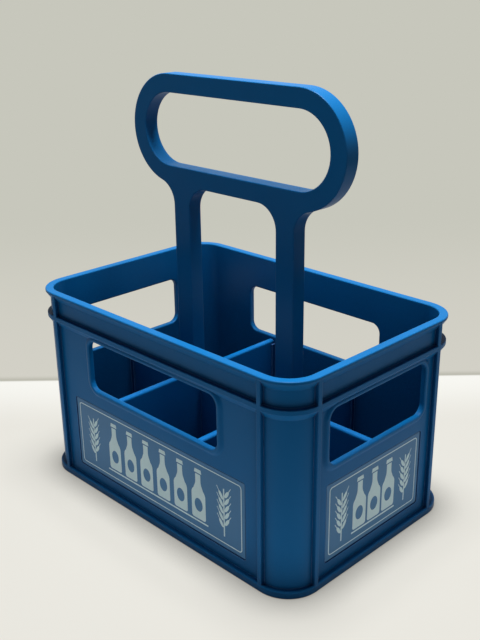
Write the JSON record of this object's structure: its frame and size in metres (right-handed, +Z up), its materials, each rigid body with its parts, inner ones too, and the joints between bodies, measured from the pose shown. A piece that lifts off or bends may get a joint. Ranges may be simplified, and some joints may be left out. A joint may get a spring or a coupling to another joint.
{
  "type": "six pack carrier",
  "caption": "Open plastic bottle crate with crossed dividers, hand holes in its four walls and a tall bow handle, for carrying bottles",
  "frame": {"origin": "on the ground under the middle of the crate", "axes": "+Z up, X along the crate's long side and the handle's grip, Y across it; the front long side faces -Y"},
  "size_m": [0.24, 0.1586, 0.2762],
  "materials": {
    "crate_plastic": "satin moulded",
    "divider_plastic": "satin moulded",
    "handle_plastic": "satin moulded",
    "label_foil": "printed film"
  },
  "bodies": {
    "root": {"crate_body": "crate_plastic", "long_divider": "divider_plastic", "left_cross_divider": "divider_plastic", "right_cross_divider": "divider_plastic", "handle": "handle_plastic", "front_label": "label_foil", "right_label": "label_foil", "back_label": "label_foil", "left_label": "label_foil"}
  },
  "joints": []
}
